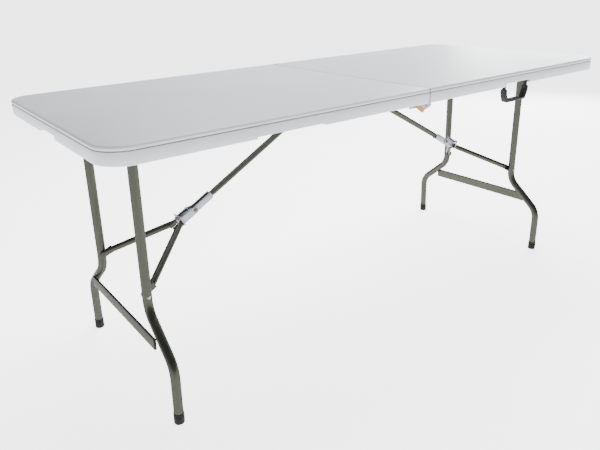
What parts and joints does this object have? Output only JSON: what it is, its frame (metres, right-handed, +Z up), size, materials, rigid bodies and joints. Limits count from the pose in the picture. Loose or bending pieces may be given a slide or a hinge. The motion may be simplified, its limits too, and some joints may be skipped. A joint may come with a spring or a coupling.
{
  "type": "folding table",
  "caption": "Bi-fold trestle table: moulded white top halved by a centre hinge, wishbone leg frames with rubber boots, folding Y braces, carrying handle and latch",
  "frame": {"origin": "floor level under the middle of the open table", "axes": "+X along the table towards the half with the carrying handle, +Y away from the handle's long side, +Z up"},
  "size_m": [1.8, 0.75, 0.75],
  "materials": {
    "top_plastic": "blow-moulded polyethylene with a fine pebble texture",
    "leg_paint": "glossy grey-green powder coat",
    "zinc_plate": "bright zinc plate",
    "boot_rubber": "black moulded boot",
    "handle_plastic": "black moulded plastic",
    "latch_grip": "yellow-orange dipped grip",
    "spring_black": "black oxide spring wire"
  },
  "bodies": {
    "left_half": {"left_panel": "top_plastic", "left_front_rail": "leg_paint", "left_back_rail": "leg_paint", "left_rail_screws": "zinc_plate", "left_hinge_leaves": "zinc_plate", "hinge_pins": "zinc_plate", "latch_catch": "zinc_plate"},
    "right_half": {"right_panel": "top_plastic", "right_front_rail": "leg_paint", "right_back_rail": "leg_paint", "right_rail_screws": "zinc_plate", "right_hinge_leaves": "zinc_plate", "latch_mount": "zinc_plate", "handle_pins": "zinc_plate"},
    "latch": {"latch_lever": "zinc_plate", "latch_grip": "latch_grip"},
    "handle": {"carry_handle": "handle_plastic"},
    "left_leg_frame": {"left_leg_top_tube": "leg_paint", "left_leg_front_tube": "leg_paint", "left_leg_back_tube": "leg_paint", "left_leg_crossbar": "leg_paint", "left_leg_front_boot": "boot_rubber", "left_leg_back_boot": "boot_rubber", "left_leg_rivets": "zinc_plate"},
    "left_arm": {"left_arm_tube": "leg_paint", "left_arm_top_tube": "leg_paint", "left_arm_channel": "zinc_plate", "left_knee_rivet": "zinc_plate"},
    "left_fork": {"left_fork_front_tube": "leg_paint", "left_fork_back_tube": "leg_paint", "left_fork_channel": "zinc_plate", "left_fork_rivets": "zinc_plate", "left_lock_spring": "spring_black"},
    "left_lock": {"left_lock_plate": "zinc_plate"},
    "right_leg_frame": {"right_leg_top_tube": "leg_paint", "right_leg_front_tube": "leg_paint", "right_leg_back_tube": "leg_paint", "right_leg_crossbar": "leg_paint", "right_leg_front_boot": "boot_rubber", "right_leg_back_boot": "boot_rubber", "right_leg_rivets": "zinc_plate"},
    "right_arm": {"right_arm_tube": "leg_paint", "right_arm_top_tube": "leg_paint", "right_arm_channel": "zinc_plate", "right_knee_rivet": "zinc_plate"},
    "right_fork": {"right_fork_front_tube": "leg_paint", "right_fork_back_tube": "leg_paint", "right_fork_channel": "zinc_plate", "right_fork_rivets": "zinc_plate", "right_lock_spring": "spring_black"},
    "right_lock": {"right_lock_plate": "zinc_plate"}
  },
  "joints": [
    {"name": "centre_fold", "type": "hinge", "parent": "left_half", "child": "right_half", "pos_m": [0, 0, 0.703], "axis": [0, 1, 0], "range_deg": [0, 90]},
    {"name": "latch_turn", "type": "hinge", "parent": "right_half", "child": "latch", "pos_m": [0.019, -0.35, 0.7], "axis": [0, 1, 0], "range_deg": [0, 12], "stiffness_Nm_per_rad": 0.1, "springref_deg": -28.65},
    {"name": "handle_swing", "type": "hinge", "parent": "right_half", "child": "handle", "pos_m": [0.413, -0.364, 0.714], "axis": [-1, 0, 0], "range_deg": [-80, 88]},
    {"name": "left_leg_fold", "type": "hinge", "parent": "left_half", "child": "left_leg_frame", "pos_m": [-0.765, 0, 0.716], "axis": [0, -1, 0], "range_deg": [0, 91.9]},
    {"name": "left_arm_turn", "type": "hinge", "parent": "left_half", "child": "left_arm", "pos_m": [-0.036, 0, 0.716], "axis": [0, 1, 0], "range_deg": [0, 28.82]},
    {"name": "left_knee_turn", "type": "hinge", "parent": "left_arm", "child": "left_fork", "pos_m": [-0.54795, 0, 0.43485], "axis": [0, -1, 0], "range_deg": [0, 180.3]},
    {"name": "left_lock_slide", "type": "slide", "parent": "left_fork", "child": "left_lock", "axis": [0.8765, 0, 0.4814], "range_m": [0, 0.01], "stiffness_N_per_m": 150, "springref_m": -0.02, "deforming": ["left_lock_spring"]},
    {"name": "right_leg_fold", "type": "hinge", "parent": "right_half", "child": "right_leg_frame", "pos_m": [0.765, 0, 0.716], "axis": [0, 1, 0], "range_deg": [0, 91.9]},
    {"name": "right_arm_turn", "type": "hinge", "parent": "right_half", "child": "right_arm", "pos_m": [0.036, 0, 0.716], "axis": [0, -1, 0], "range_deg": [0, 28.82]},
    {"name": "right_knee_turn", "type": "hinge", "parent": "right_arm", "child": "right_fork", "pos_m": [0.54795, 0, 0.43485], "axis": [0, 1, 0], "range_deg": [0, 180.3]},
    {"name": "right_lock_slide", "type": "slide", "parent": "right_fork", "child": "right_lock", "axis": [-0.8765, 0, 0.4814], "range_m": [0, 0.01], "stiffness_N_per_m": 150, "springref_m": -0.02, "deforming": ["right_lock_spring"]}
  ],
  "couplings": [
    {"joint": "left_arm_turn", "follows": "left_leg_fold", "ratio": 0.31311},
    {"joint": "left_knee_turn", "follows": "left_leg_fold", "ratio": 1.9587},
    {"joint": "right_arm_turn", "follows": "right_leg_fold", "ratio": 0.31311},
    {"joint": "right_knee_turn", "follows": "right_leg_fold", "ratio": 1.9587}
  ]
}
